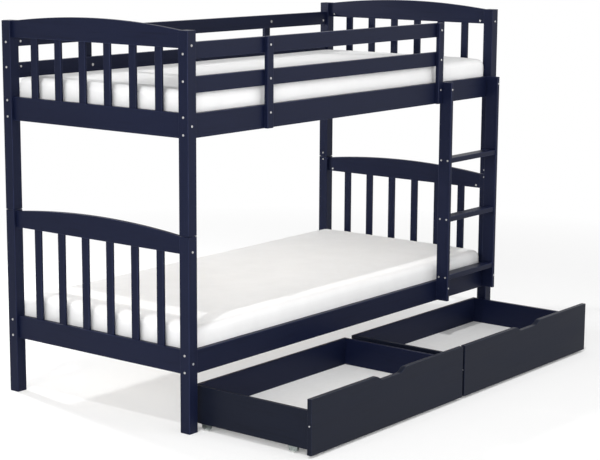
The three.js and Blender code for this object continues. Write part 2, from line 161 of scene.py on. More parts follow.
def add_range(material, source, low, high, out_low, out_high):
    spread = add_node(material, "ShaderNodeMapRange", {
        "From Min": low, "From Max": high, "To Min": out_low, "To Max": out_high})
    wire(material, (source, spread.inputs["Value"]))
    return spread.outputs["Result"]


floor_mesh = bpy.data.meshes.new("floor")
floor_mesh.from_pydata(
    [(-floor_reach, -floor_reach, 0), (floor_reach, -floor_reach, 0),
     (floor_reach, floor_reach, 0), (-floor_reach, floor_reach, 0)], [], [(0, 1, 2, 3)])
floor = bpy.data.objects.new("floor", floor_mesh)
scene.collection.objects.link(floor)
floor_paint, floor_shader = new_material("studio_floor", floor_white, 0.9, 0.0)
floor_place = add_node(floor_paint, "ShaderNodeTexCoord")
floor_out = add_node(floor_paint, "ShaderNodeVectorMath", operation="LENGTH")
wire(floor_paint, (floor_place.outputs["Object"], floor_out.inputs[0]))
floor_own = add_range(floor_paint, floor_out.outputs["Value"], *floor_fade, floor_level, 1.0)
# Painted shade: the floor's own glow is cut near the bed by an occlusion mask.
painted_contact_shade = add_node(
    floor_paint, "ShaderNodeAmbientOcclusion", {"Distance": painted_shade_reach}, samples=painted_shade_samples)
floor_own = add_math(floor_paint, "MULTIPLY", floor_own, painted_contact_shade.outputs["AO"])
floor_own = add_math(floor_paint, "MULTIPLY", floor_own, seen_share(floor_paint))
floor_glow = add_node(floor_paint, "ShaderNodeEmission", {"Strength": 1.0})
floor_mix = add_node(floor_paint, "ShaderNodeMixShader")
wire(
    floor_paint, (floor_own, floor_mix.inputs["Fac"]),
    (floor_shader.outputs[0], floor_mix.inputs[1]), (floor_glow.outputs[0], floor_mix.inputs[2]),
    (floor_mix.outputs[0], floor_paint.node_tree.nodes["Material Output"].inputs["Surface"]))
floor_mesh.materials.append(floor_paint)

# Posts: each corner has a lower and an upper post of planed pine, 46 mm square with eased
# edges and sprayed navy. The upper one stands on the lower one at a pin, so a fine seam shows.
corners = ("back_left", "front_left", "back_right", "front_right")
post_edge = 0.0018
seam_gap = 0.0018
post_seeds = {"upper": 10, "lower": 20}
seed_shift = (7.3, 3.1, 5.7)
seed_step = 0.37
lacquer_rough = 0.42
lacquer_specular = 0.10
lacquer_pore = 0.62
# How much lighter the eased edges are: thinner lacquer and a painted highlight.
lacquer_worn_and_highlight = 1.9
lacquer_worn_and_highlight_lift = 0.004
lacquer_grain_height = 0.0006
lacquer_spray_height = 0.0002


def grain_place(material, stretch):
    """The board's own coordinates, along, across and through it, stretched for a texture."""
    grain = add_node(material, "ShaderNodeAttribute", attribute_name="grain")
    scaled = add_node(material, "ShaderNodeMapping", {"Scale": stretch})
    wire(material, (grain.outputs["Vector"], scaled.inputs["Vector"]))
    return scaled.outputs["Vector"]


def grain_noise(material, stretch, detail, rough=0.5):
    """Noise that runs with the board's grain."""
    made = add_node(material, "ShaderNodeTexNoise", {
        "Scale": 1.0, "Detail": detail, "Roughness": rough})
    wire(material, (grain_place(material, stretch), made.inputs["Vector"]))
    return made.outputs["Fac"]


def mix_colours(material, factor, first, second):
    """Mixes two colours, each a plain colour or a socket."""
    mixed = add_node(material, "ShaderNodeMix", data_type="RGBA")
    for value, slot in ((first, "A"), (second, "B")):
        socket = [s for s in mixed.inputs if s.name == slot and s.type == "RGBA"][0]
        if isinstance(value, tuple):
            socket.default_value = (*value, 1.0)
        else:
            wire(material, (value, socket))
    wire(material, (factor, mixed.inputs["Factor"]))
    return [s for s in mixed.outputs if s.type == "RGBA"][0]


def make_bump(material, shader, layers):
    """Chains bumps: each layer is a height socket, a strength and a depth in metres."""
    below = None
    for height, strength, depth in layers:
        bump = add_node(material, "ShaderNodeBump", {"Strength": strength, "Distance": depth})
        wire(material, (height, bump.inputs["Height"]))
        if below:
            wire(material, (below, bump.inputs["Normal"]))
        below = bump.outputs["Normal"]
    wire(material, (below, shader.inputs["Normal"]))


def make_navy(name, deep, light):
    """Navy lacquer on planed pine: faint open grain, sprayed texture, and lighter eased edges,
    partly thinner lacquer and partly a painted highlight.
    """
    material, shader = new_material(name, deep, lacquer_rough, lacquer_specular)
    streaks = grain_noise(material, (5.0, 95.0, 95.0), 6.0, 0.62)
    broad = grain_noise(material, (1.3, 7.0, 7.0), 3.0)
    spray = grain_noise(material, (520.0, 520.0, 520.0), 2.0)
    body = mix_colours(material, add_range(material, broad, 0.3, 0.7, 0.0, 1.0), deep, light)
    pores = add_range(material, streaks, 0.30, 0.44, 0.55, 0.0)
    grained = mix_colours(material, pores, body, tuple(lacquer_pore * c for c in deep))
    # Painted highlight: the eased edges are lightened, partly as thinner lacquer, partly as the
    # light they catch.
    arris = add_node(material, "ShaderNodeAttribute", attribute_name="arris")
    edge_lift_breakup = add_range(material, streaks, 0.42, 0.66, 0.25, 0.95)
    worn = add_math(material, "MULTIPLY", arris.outputs["Fac"], edge_lift_breakup)
    worn_and_highlight_colour = tuple(lacquer_worn_and_highlight * c + lacquer_worn_and_highlight_lift for c in light)
    edged = mix_colours(material, worn, grained, worn_and_highlight_colour)
    rougher = add_range(material, broad, 0.3, 0.7, lacquer_rough - 0.05, lacquer_rough + 0.06)
    wire(material, (edged, shader.inputs["Base Color"]), (rougher, shader.inputs["Roughness"]))
    make_bump(material, shader, [
        (streaks, 0.22, lacquer_grain_height), (spray, 0.10, lacquer_spray_height)])
    return material


def new_form():
    """An empty mesh with each board's own coordinates and a mark on its eased edges."""
    form = bmesh.new()
    form.verts.layers.float_vector.new("grain")
    form.faces.layers.float.new("arris")
    return form


def mark_grain(form, known, axes, seed):
    """Gives the points added since known their place along, across and through the board."""
    layer = form.verts.layers.float_vector["grain"]
    shift = Vector(seed_shift) * (seed + 1) * seed_step
    for v in form.verts:
        if v not in known:
            v[layer] = Vector((v.co[axes[0]], v.co[axes[1]], v.co[axes[2]])) + shift


def ease_edges(form, edges, radius, steps):
    layer = form.faces.layers.float["arris"]
    eased = bmesh.ops.bevel(
        form, geom=list(edges), offset=radius, segments=steps, profile=0.5,
        affect="EDGES", clamp_overlap=True)
    for face in eased["faces"]:
        face[layer] = 1.0


def add_board(form, low, high, radius, seed, steps=3):
    """A planed board between two corners, its grain along its longest side."""
    known = set(form.verts)
    size = Vector(high) - Vector(low)
    middle = (Vector(high) + Vector(low)) / 2
    verts = bmesh.ops.create_cube(form, size=1.0)["verts"]
    for v in verts:
        v.co = Vector([middle[i] + v.co[i] * size[i] for i in range(3)])
    ease_edges(form, {e for v in verts for e in v.link_edges}, radius, steps)
    mark_grain(form, known, sorted(range(3), key=lambda i: -size[i]), seed)


def make_piece(name, form, body, material, nodes=()):
    """Turns a form into a piece that rides on a body and stands for CAD nodes."""
    bmesh.ops.recalc_face_normals(form, faces=form.faces)
    mesh = bpy.data.meshes.new(name)
    form.to_mesh(mesh)
    form.free()
    mesh.shade_smooth()
    mesh.materials.append(material)
    piece = bpy.data.objects.new(name, mesh)
    scene.collection.objects.link(piece)
    piece.modifiers.new("even_normals", "WEIGHTED_NORMAL").keep_sharp = True
    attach(piece, body)
    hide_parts(*nodes)


navy = make_navy("navy_lacquer", (0.0048, 0.0072, 0.0235), (0.0066, 0.0094, 0.0275))
for number, corner in enumerate(corners):
    for level in ("upper", "lower"):
        node = f"{level}_post_{corner}"
        low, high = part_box(node)
        if level == "lower":
            high.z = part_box(f"upper_post_{corner}")[0].z - seam_gap
        form = new_form()
        add_board(form, low, high, post_edge, post_seeds[level] + number)
        make_piece(f"post_{level}_{corner}", form, "bed", navy, [node])

# End panels: a crowned pine rail over six flat spindles and a straight rail, mortised and
# glued as one panel and sprayed navy. The crown is sawn as a shallow arch.
arch_end_height = 0.064
arch_rise = 0.027
arch_steps = 48
end_rail_height = 0.092
end_rail_edge = 0.0025
spindle_width = 0.034
spindle_thickness = 0.012
spindle_edge = 0.002
spindle_count = 6
spindle_in = 0.004
sharp_turn = 0.6
panel_seeds = {"upper_left": 30, "upper_right": 40, "lower_left": 50, "lower_right": 60}


def add_outline(form, outline, through, radius, axes, seed, steps=3):
    """A board sawn to an outline of points, its thickness given as a vector."""
    known = set(form.verts)
    near = [form.verts.new(p) for p in outline]
    face = form.faces.new(near)
    pushed = bmesh.ops.extrude_face_region(form, geom=[face])
    for v in (g for g in pushed["geom"] if isinstance(g, bmesh.types.BMVert)):
        v.co += through
    added = [v for v in form.verts if v not in known]
    edges = {e for v in added for e in v.link_edges}
    bmesh.ops.recalc_face_normals(form, faces=list({f for v in added for f in v.link_faces}))
    sharp = [e for e in edges if len(e.link_faces) == 2 and e.calc_face_angle(0.0) > sharp_turn]
    ease_edges(form, sharp, radius, steps)
    mark_grain(form, known, axes, seed)


for level in ("upper", "lower"):
    for side in ("left", "right"):
        node = f"{level}_end_{side}"
        seed = panel_seeds[f"{level}_{side}"]
        low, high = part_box(node)
        arch_low = high.z - arch_rise - arch_end_height
        half = (high.y - low.y) / 2
        middle_y = (high.y + low.y) / 2
        outline = [(low.x, low.y, arch_low), (low.x, high.y, arch_low)]
        for i in range(arch_steps + 1):
            share = 1 - 2 * i / arch_steps
            rise = arch_rise * (1 - share * share)
            outline.append((low.x, middle_y + share * half, arch_low + arch_end_height + rise))
        form = new_form()
        through = Vector((high.x - low.x, 0, 0))
        add_outline(form, outline, through, end_rail_edge, (1, 2, 0), seed)
        rail_high = Vector((high.x, high.y, low.z + end_rail_height))
        add_board(form, low, rail_high, end_rail_edge, seed + 1)
        gap = (2 * half - spindle_count * spindle_width) / (spindle_count + 1)
        middle_x = (low.x + high.x) / 2
        for i in range(spindle_count):
            y = low.y + gap + i * (gap + spindle_width)
            add_board(
                form, (middle_x - spindle_thickness / 2, y, rail_high.z - spindle_in),
                (middle_x + spindle_thickness / 2, y + spindle_width, arch_low + spindle_in),
                spindle_edge, seed + 2 + i)
        make_piece(f"panel_{level}_{side}", form, "bed", navy, [node])

# Side rails: boards of navy pine bolted between the posts, with a ledger glued and screwed along
# the inner face for the slats, its lower edge planed off at a slant. The rails' tops are 4.5 mm
# lower than their nodes', as the photograph shows them.
rail_thickness = 0.022
rail_short = 0.0045
rail_edge = 0.0022
ledger_height = 0.024
ledger_edge = 0.0012
ledger_in = 0.0005
rail_seeds = {"upper_back": 70, "upper_front": 72, "lower_back": 75, "lower_front": 77}
for level in ("upper", "lower"):
    for side in ("back", "front"):
        node = f"{level}_side_rail_{side}"
        seed = rail_seeds[f"{level}_{side}"]
        low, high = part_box(node)
        high.z -= rail_short
        inward = -1 if side == "back" else 1
        outer, ledger = (high.y, low.y) if side == "back" else (low.y, high.y)
        inner = outer + inward * rail_thickness
        glued = inner - inward * ledger_in
        rail_low = (low.x, min(outer, inner), low.z)
        rail_high = (high.x, max(outer, inner), high.z)
        form = new_form()
        add_board(form, rail_low, rail_high, rail_edge, seed)
        outline = [
            (low.x, glued, low.z + rail_edge), (low.x, ledger, low.z),
            (low.x, ledger, low.z + ledger_height), (low.x, glued, low.z + ledger_height)]
        through = Vector((high.x - low.x, 0, 0))
        add_outline(form, outline, through, ledger_edge, (0, 1, 2), seed + 1)
        make_piece(f"rail_{level}_{side}", form, "bed", navy, [node])

# Guard rails and stiles: flat navy boards round the upper bed. The rails lie in line with the
# side rail, and the stiles are bolted across the outside of all three. The back stiles' tops are
# 5 mm lower than their nodes', as the photograph shows them.
guard_edge = 0.0025
guard_seed = 90
back_stile_short = 0.005
guards = [f"guard_rail_{side}_{place}" for side in ("back", "front") for place in ("top", "middle")]
guards += [f"guard_stile_{corner}" for corner in corners]
for number, node in enumerate(guards):
    low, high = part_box(node)
    high.z -= back_stile_short if "stile_back" in node else 0
    form = new_form()
    add_board(form, low, high, guard_edge, guard_seed + number)
    make_piece(node.replace("guard_", "board_"), form, "bed", navy, [node])

# Slatted bases: thirteen bare planed pine slats on each bed, stapled to two pale webbing
# straps and laid loose on the ledgers.
slat_count = 13
slat_width = 0.070
slat_thickness = 0.012
slat_edge = 0.002
slat_seeds = {"upper": 110, "lower": 130}
strap_width = 0.030
strap_thickness = 0.0012
strap_edge = 0.0004
strap_from_middle = 0.260
strap_seed = 150
pine_light = (0.72, 0.61, 0.46)
pine_dark = (0.60, 0.47, 0.32)
pine_knot = (0.20, 0.095, 0.035)
pine_pore = 0.6
pine_ring_height = 0.0004
pine_fibre_height = 0.0003
webbing_white = (0.66, 0.65, 0.61)
webbing_shade = (0.50, 0.49, 0.45)
webbing_rib_height = 0.0006


def make_pine(name, rough, specular):
    """Bare pine: growth rings along the board, fine pores and a few small knots."""
    material, shader = new_material(name, pine_light, rough, specular)
    rings = add_node(material, "ShaderNodeTexWave", {
        "Scale": 1.1, "Distortion": 5.5, "Detail": 3.0, "Detail Scale": 1.2}, bands_direction="Y")
    knots = add_node(material, "ShaderNodeTexVoronoi", {"Scale": 1.0})
    wire(
        material, (grain_place(material, (1.6, 26.0, 26.0)), rings.inputs["Vector"]),
        (grain_place(material, (2.1, 9.0, 9.0)), knots.inputs["Vector"]))
    fibres = grain_noise(material, (9.0, 240.0, 240.0), 5.0, 0.6)
    late_wood = add_range(material, rings.outputs["Fac"], 0.2, 0.9, 0.0, 0.8)
    ringed = mix_colours(material, late_wood, pine_light, pine_dark)
    pores = add_range(material, fibres, 0.35, 0.6, 0.35, 0.0)
    pored = mix_colours(material, pores, ringed, tuple(pine_pore * c for c in pine_dark))
    knotty = add_range(material, knots.outputs["Distance"], 0.02, 0.09, 0.75, 0.0)
    body = mix_colours(material, knotty, pored, pine_knot)
    wire(material, (body, shader.inputs["Base Color"]))
    make_bump(material, shader, [
        (rings.outputs["Fac"], 0.12, pine_ring_height), (fibres, 0.25, pine_fibre_height)])
    return material


pine = make_pine("slat_pine", 0.68, 0.3)
webbing, webbing_shader = new_material("webbing_strap", (0.62, 0.61, 0.57), 0.85, 0.2)
webbing_shader.inputs["Sheen Weight"].default_value = 0.3
ribs = add_node(
    webbing, "ShaderNodeTexWave", {"Scale": 1.0, "Distortion": 0.4}, bands_direction="X")
wire(webbing, (grain_place(webbing, (110.0, 160.0, 160.0)), ribs.inputs["Vector"]))
ribbed = mix_colours(webbing, ribs.outputs["Fac"], webbing_shade, webbing_white)
wire(webbing, (ribbed, webbing_shader.inputs["Base Color"]))
make_bump(webbing, webbing_shader, [(ribs.outputs["Fac"], 0.5, webbing_rib_height)])
for level in ("upper", "lower"):
    node = f"{level}_slat_base"
    low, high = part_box(node)
    pitch = (high.x - low.x - slat_width) / (slat_count - 1)
    form = new_form()
    for i in range(slat_count):
        x = low.x + i * pitch
        add_board(
            form, (x, low.y, high.z - slat_thickness), (x + slat_width, high.y, high.z),
            slat_edge, slat_seeds[level] + i, 2)
    make_piece(f"slats_{level}", form, "bed", pine, [node])
    middle_y = (low.y + high.y) / 2
    form = new_form()
    for number, side in enumerate((-1, 1)):
        y = middle_y + side * strap_from_middle
        add_board(
            form, (low.x + slat_width / 4, y - strap_width / 2, low.z),
            (high.x - slat_width / 4, y + strap_width / 2, low.z + strap_thickness),
            strap_edge, strap_seed + number, 1)
    make_piece(f"straps_{level}", form, "bed", webbing)

# Mattresses: foam cores in a tight white sheet, 2000 x 900 x 133 mm. The top is crowned, the
# upper edges are round and the sides draw in a little between the corners.
sheet_white = (0.84, 0.84, 0.84)
sheet_shade = (0.81, 0.81, 0.81)
sheet_thread = 0.8
corner_radius = 0.008
edge_round = 0.016
side_fullest = 0.45
foot_in = 0.25
foot_bend = 2.2
shoulder_bend = 4.5
crown = 0.005
crown_bend = 4
crown_end_drop = 0.25
crown_end_bend = 8
draw_in = 0.001
pad_grid = 0.020
pad_side_steps = 9
pad_inset = 0.001
pad_reach = 0.0035
pad_over = 0.004
pad_fill = 0.003
pad_pressure = 4.0
pad_frames = 20
rise_from = 0.04
rise_over = 0.05
ridge_share = 0.5
ridge_off = 1.6
wave_height = 0.0012
wave_pitch = (2.3, 2.9)
wave_layers = {"upper": 4.0, "lower": 9.0}


def make_sheet_cloth(name, rough, specular):
    """White cotton: a fine plain weave, slight unevenness in tone and a soft sheen."""
    material, shader = new_material(name, sheet_white, rough, specular)
    shader.inputs["Sheen Weight"].default_value = 0.25
    shader.inputs["Sheen Roughness"].default_value = 0.5
    place = add_node(material, "ShaderNodeTexCoord")
    thread = {"Scale": 240.0, "Distortion": 0.6}
    warp = add_node(material, "ShaderNodeTexWave", thread, bands_direction="X")
    weft = add_node(material, "ShaderNodeTexWave", thread, bands_direction="Y")
    slubs = add_node(material, "ShaderNodeTexNoise", {
        "Scale": 9.0, "Detail": 5.0, "Roughness": 0.6})
    rumple = add_node(material, "ShaderNodeTexNoise", {
        "Scale": 5.5, "Detail": 3.0, "Distortion": 0.8})
    for made in (warp, weft, slubs, rumple):
        wire(material, (place.outputs["Object"], made.inputs["Vector"]))
    woven = add_math(material, "MAXIMUM", warp.outputs["Fac"], weft.outputs["Fac"])
    tone = add_range(material, slubs.outputs["Fac"], 0.35, 0.65, 0.0, 1.0)
    body = mix_colours(material, tone, sheet_shade, sheet_white)
    between = add_range(material, woven, 0.0, 1.0, 0.12, 0.0)
    threaded = mix_colours(material, between, body, tuple(sheet_thread * c for c in sheet_shade))
    wire(material, (threaded, shader.inputs["Base Color"]))
    make_bump(material, shader, [(rumple.outputs["Fac"], 0.16, 0.004), (woven, 0.18, 0.0002)])
    return material


def pad_profile(share):
    """How far in the side is at a share of the height, as a share of the edge round."""
    if share < side_fullest:
        return foot_in * ((side_fullest - share) / side_fullest) ** foot_bend
    past = (share - side_fullest) / (1 - side_fullest)
    return 1.0 - math.sqrt(max(0.0, 1.0 - past ** shoulder_bend))


def pad_form(length, width, thickness):
    """A closed pad on a grid: a crowned top, round edges, tight corners and drawn-in sides."""
    form = bmesh.new()
    long_steps = round(length / pad_grid)
    short_steps = round(width / pad_grid)
    ring = [(-1 + 2 * i / long_steps, -1.0) for i in range(long_steps)]
    ring += [(1.0, -1 + 2 * i / short_steps) for i in range(short_steps)]
    ring += [(1 - 2 * i / long_steps, 1.0) for i in range(long_steps)]
    ring += [(-1.0, 1 - 2 * i / short_steps) for i in range(short_steps)]

    def plan(u, v, inset):
        """A point of the plan, with round corners, drawn in at the middles and inset."""
        x = u * length / 2
        y = v * width / 2
        cx, cy = length / 2 - corner_radius, width / 2 - corner_radius
        dx, dy = max(abs(x) - cx, 0.0), max(abs(y) - cy, 0.0)
        if dx > 0 and dy > 0:
            far = math.hypot(dx, dy)
            scale = max(dx, dy) / far
            dx, dy = dx * scale, dy * scale
        x = math.copysign(min(abs(x), cx) + dx, x)
        y = math.copysign(min(abs(y), cy) + dy, y)
        waist_x = draw_in * math.cos(math.pi / 2 * v) * abs(u)
        waist_y = draw_in * math.cos(math.pi / 2 * u) * abs(v)
        return x * (1 - 2 * (inset + waist_x) / length), y * (1 - 2 * (inset + waist_y) / width)

    def top(u, v):
        """The height of the top, crowned across the bed and a little lower at both ends."""
        ends = 1 - crown_end_drop * u ** crown_end_bend
        return thickness - crown * (1 - (1 - v ** crown_bend) * ends)

    rows = []
    for level in range(pad_side_steps + 1):
        share = level / pad_side_steps
        row = []
        for u, v in ring:
            x, y = plan(u, v, pad_profile(share) * edge_round)
            row.append(form.verts.new((x, y, share * top(u, v))))
        rows.append(row)
    count = len(ring)
    for lower, upper in zip(rows, rows[1:]):
        for i in range(count):
            k = (i + 1) % count
            form.faces.new((lower[i], lower[k], upper[k], upper[i]))
    for row, above in ((rows[0], False), (rows[-1], True)):
        grid = {}
        for i, (u, v) in enumerate(ring):
            a = round((u + 1) / 2 * long_steps)
            b = round((v + 1) / 2 * short_steps)
            grid[a, b] = row[i]
        inset = pad_profile(1.0 if above else 0.0) * edge_round
        for a in range(1, long_steps):
            for b in range(1, short_steps):
                u, v = 2 * a / long_steps - 1, 2 * b / short_steps - 1
                x, y = plan(u, v, inset)
                grid[a, b] = form.verts.new((x, y, top(u, v) if above else 0.0))
        for a in range(long_steps):
            for b in range(short_steps):
                quad = (grid[a, b], grid[a + 1, b], grid[a + 1, b + 1], grid[a, b + 1])
                form.faces.new(quad if above else quad[::-1])
    return form


def swell(piece):
    """Fills the sheet by a short cloth run and keeps each point near where it started."""
    start = np.array([v.co for v in piece.data.vertices])
    cloth = piece.modifiers.new("Cloth", "CLOTH")
    cloth.settings.quality = 4
    cloth.settings.mass = 0.25
    cloth.settings.tension_stiffness = 12.0
    cloth.settings.compression_stiffness = 12.0
    cloth.settings.bending_stiffness = 0.4
    cloth.settings.shrink_min = -0.012
    cloth.settings.use_pressure = True
    cloth.settings.uniform_pressure_force = pad_pressure
    cloth.settings.effector_weights.gravity = 0.0
    for number in range(1, pad_frames + 1):
        scene.frame_set(number)
    settled = piece.evaluated_get(bpy.context.evaluated_depsgraph_get())
    moved = np.array([v.co for v in settled.to_mesh().vertices]) - start
    piece.modifiers.remove(cloth)
    scene.frame_set(1)
    far = np.linalg.norm(moved, axis=1)
    moved *= (pad_reach * np.tanh(far / pad_reach) / np.maximum(far, 1e-9))[:, None]
    piece.data.vertices.foreach_set("co", (start + moved).ravel())
    piece.data.update()


def crease_drop(plan, start, end, depth, width):
    """How far a crease presses each point of the plan down, with a low ridge beside it."""
    a, b = np.array(start), np.array(end)
    along = np.clip(((plan - a) @ (b - a)) / ((b - a) @ (b - a)), 0, 1)
    off = np.linalg.norm(plan - (a + along[:, None] * (b - a)), axis=1)
    fade = np.sin(np.pi * np.clip(along, 0.02, 0.98)) ** 0.5
    ridge = ridge_share * np.exp(-((off - ridge_off * width) / width) ** 2)
    return depth * fade * (np.exp(-(off / width) ** 2) - ridge)


cotton = make_sheet_cloth("mattress_cover", 0.86, 0.18)
pad_low, pad_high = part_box("upper_mattress")
pad_size = pad_high - pad_low
pad_mesh = bpy.data.meshes.new("pad")
form = pad_form(
    pad_size.x - 2 * pad_inset, pad_size.y - 2 * pad_inset, pad_size.z + pad_over / 2)
form.to_mesh(pad_mesh)
form.free()
pad = bpy.data.objects.new("pad", pad_mesh)
scene.collection.objects.link(pad)
swell(pad)

# Creases of each sheet: where each starts and ends on the plan, its depth and its width
creases = {
    "upper": [
        ((0.90, -0.20), (0.975, -0.30), 0.0022, 0.016),
        ((-0.95, 0.30), (-0.80, 0.38), 0.0015, 0.020)],
    "lower": [
        ((0.87, -0.40), (0.96, -0.33), 0.0026, 0.018),
        ((0.90, 0.34), (0.975, 0.22), 0.0018, 0.020)]}
for level in ("upper", "lower"):
    node = f"{level}_mattress"
    low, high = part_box(node)
    middle = Vector(((low.x + high.x) / 2, (low.y + high.y) / 2, low.z))
    mesh = pad.data.copy()
    co = np.array([v.co for v in mesh.vertices])
    if level == "lower":
        co[:, :2] *= -1
    rise = np.clip((co[:, 2] - rise_from) / rise_over, 0, 1)
    for crease in creases[level]:
        co[:, 2] -= rise * crease_drop(co[:, :2], *crease)
    for i, point in enumerate(co):
        wave_place = (point[0] * wave_pitch[0], point[1] * wave_pitch[1], wave_layers[level])
        co[i, 2] += wave_height * noise.noise(Vector(wave_place)) * rise[i]
    limit_low = np.array((low - middle)[:])
    limit_high = np.array((high - middle)[:]) + np.array((0.0, 0.0, pad_over))
    co[:, :2] *= ((limit_high + pad_fill) / np.abs(co).max(axis=0))[:2]
    co = np.minimum(np.maximum(co, limit_low), limit_high)
    co[:, 2] = np.maximum(co[:, 2], 0.0)
    co += np.array(middle[:])
    mesh.vertices.foreach_set("co", co.ravel())
    mesh.update()
    mesh.shade_smooth()
    mesh.materials.append(cotton)
    piece = bpy.data.objects.new(f"mattress_{level}", mesh)
    scene.collection.objects.link(piece)
    finer = piece.modifiers.new("finer", "SUBSURF")
    finer.levels = finer.render_levels = 1
    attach(piece, "bed")
    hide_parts(node)
bpy.data.objects.remove(pad)

# Ladder: two navy boards bolted flat against the front of both side rails, with three flat
# treads bolted between them.
ladder_edge = 0.0025
ladder_seed = 170
ladder = ["ladder_rail_left", "ladder_rail_right"] + [f"ladder_tread_{step}" for step in (1, 2, 3)]
for number, node in enumerate(ladder):
    low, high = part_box(node)
    form = new_form()
    add_board(form, low, high, ladder_edge, ladder_seed + number)
    name = node.replace("ladder_rail", "ladder_side").replace("ladder_tread", "ladder_step")
    make_piece(name, form, "bed", navy, [node])

# Drawers: a navy front board with a sloped finger notch, a box of navy boards on three sides
# and a thin white panel held in grooves.
notch_top = 0.184
notch_bottom = 0.122
notch_depth = 0.018
notch_bend = 0.009
notch_bend_steps = 6
groove_in = 0.005
groove_low = 0.0557
groove_high = 0.0593
front_edge = 0.0016
wall_edge = 0.0008
bottom_edge = 0.0005
drawer_seeds = {"drawer_left": 190, "drawer_right": 200}
board_speckle_height = 0.0003


def notched_outline(low, high):
    """The front's outline in its own plane, with a notch of four soft bends in its top edge."""
    middle = (low.x + high.x) / 2
    points = [(low.x, low.z), (high.x, low.z), (high.x, high.z)]
    slope = Vector(((notch_top - notch_bottom) / 2, notch_depth)).normalized() * notch_bend
    bends = [
        ((notch_top / 2 + notch_bend, 0.0), (notch_top / 2, 0.0),
         (notch_top / 2 - slope.x, -slope.y)),
        ((notch_bottom / 2 + slope.x, slope.y - notch_depth), (notch_bottom / 2, -notch_depth),
         (notch_bottom / 2 - notch_bend, -notch_depth))]
    half = []
    for start, bend, end in bends:
        for i in range(notch_bend_steps + 1):
            t = i / notch_bend_steps
            half.append(tuple(
                (1 - t) ** 2 * start[k] + 2 * t * (1 - t) * bend[k] + t * t * end[k]
                for k in (0, 1)))
    points += [(middle + x, high.z + z) for x, z in half]
    points += [(middle - x, high.z + z) for x, z in reversed(half)]
    points.append((low.x, high.z))
    return [Vector((x, low.y, z)) for x, z in points]


def add_wall(form, low, high, side, seed):
    """One wall of the box: its section, grooved on the inner face, pushed along its length."""
    across, run = (1, 0) if side == "back" else (0, 1)
    inward = 1 if side == "side_left" else -1
    outer, inner = (low[across], high[across]) if inward > 0 else (high[across], low[across])
    grooved = inner - inward * groove_in
    section = [
        (outer, low.z), (inner, low.z), (inner, groove_low), (grooved, groove_low),
        (grooved, groove_high), (inner, groove_high), (inner, high.z), (outer, high.z)]
    outline = []
    for across_at, z in section:
        point = Vector((low.x, low.y, z))
        point[across] = across_at
        outline.append(point)
    length = Vector((0, 0, 0))
    length[run] = high[run] - low[run]
    add_outline(form, outline, length, wall_edge, (run, 2, across), seed, 2)


white_board, white_shader = new_material("white_board", (0.80, 0.80, 0.79), 0.42, 0.4)
speckle = grain_noise(white_board, (34.0, 60.0, 60.0), 4.0)
speckled = mix_colours(
    white_board, add_range(white_board, speckle, 0.3, 0.7, 0.0, 1.0),
    (0.92, 0.92, 0.915), (0.95, 0.95, 0.945))
wire(white_board, (speckled, white_shader.inputs["Base Color"]))
make_bump(white_board, white_shader, [(speckle, 0.08, board_speckle_height)])
navy_board = make_navy("navy_board", (0.0052, 0.0070, 0.0150), (0.0066, 0.0088, 0.0180))
for drawer, seed in drawer_seeds.items():
    low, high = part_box(f"{drawer}_front")
    form = new_form()
    through = Vector((0, high.y - low.y, 0))
    add_outline(form, notched_outline(low, high), through, front_edge, (0, 2, 1), seed)
    make_piece(f"{drawer}_face", form, drawer, navy_board, [f"{drawer}_front"])
    for step, side in enumerate(("side_left", "side_right", "back")):
        low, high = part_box(f"{drawer}_{side}")
        form = new_form()
        add_wall(form, low, high, side, seed + 1 + step)
        # Painted shade: the right wall and back, whose inner faces are seen in shade, take the
        # bluer navy, and the left wall, seen lit from outside, takes the greyer navy of the front.
        material = navy_board if side == "side_left" else navy
        make_piece(
            f"{drawer}_wall_{side}", form, drawer, material, [f"{drawer}_{side}"])
    low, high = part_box(f"{drawer}_bottom")
    form = new_form()
    add_board(form, low, high, bottom_edge, seed + 5, 1)
    make_piece(f"{drawer}_floor", form, drawer, white_board, [f"{drawer}_bottom"])

# Castors: a zinc plate with two ears and an axle, screwed under the box sides, and a turned
# grey nylon wheel with a hollow in each face.
castor_places = ("front_left", "front_right", "back_left", "back_right")
plate_thickness = 0.0014
plate_edge = 0.0006
ear_thickness = 0.0012
ear_edge = 0.0003
ear_clear = 0.0003
ear_in_plate = 0.0007
ear_round = 0.0050
ear_round_steps = 6
ear_foot = 0.0185
ear_half = 0.0205
axle_height = 0.010
axle_sunk = 0.0002
axle_head = [(0.0026, 0.0), (0.0026, 0.0003), (0.0018, 0.0007), (0, 0.0008)]
axle_sides = 20
wheel_bore = 0.0016
wheel_hub = 0.0035
wheel_hollow = (0.0040, 0.0072)
wheel_hollow_depth = 0.0014
wheel_rim = 0.0076
wheel_shoulder = [(0.0010, 0.0), (0.0003, 0.0004), (0.0, 0.0012)]
wheel_sides = 48
nylon_dark = (0.46, 0.48, 0.46)
nylon_light = (0.57, 0.59, 0.57)


def make_steel(name, base, rough):
    """Zinc-plated steel: cloudy tone and roughness, and small dull spots."""
    material, shader = new_material(name, base, rough, 0.5)
    shader.inputs["Metallic"].default_value = 1.0
    place = add_node(material, "ShaderNodeTexCoord").outputs["Object"]
    cloud = add_node(material, "ShaderNodeTexNoise", {"Scale": 420.0, "Detail": 3.0})
    spots = add_node(material, "ShaderNodeTexNoise", {"Scale": 1900.0, "Detail": 2.0})
    wire(material, (place, cloud.inputs["Vector"]), (place, spots.inputs["Vector"]))
    worn = add_range(material, cloud.outputs["Fac"], 0.35, 0.65, 0.0, 1.0)
    clouded = mix_colours(material, worn, tuple(0.78 * c for c in base), base)
    rougher = add_range(material, cloud.outputs["Fac"], 0.3, 0.7, rough - 0.08, rough + 0.12)
    wire(material, (clouded, shader.inputs["Base Color"]), (rougher, shader.inputs["Roughness"]))
    make_bump(material, shader, [(spots.outputs["Fac"], 0.15, 0.0001)])
    return material


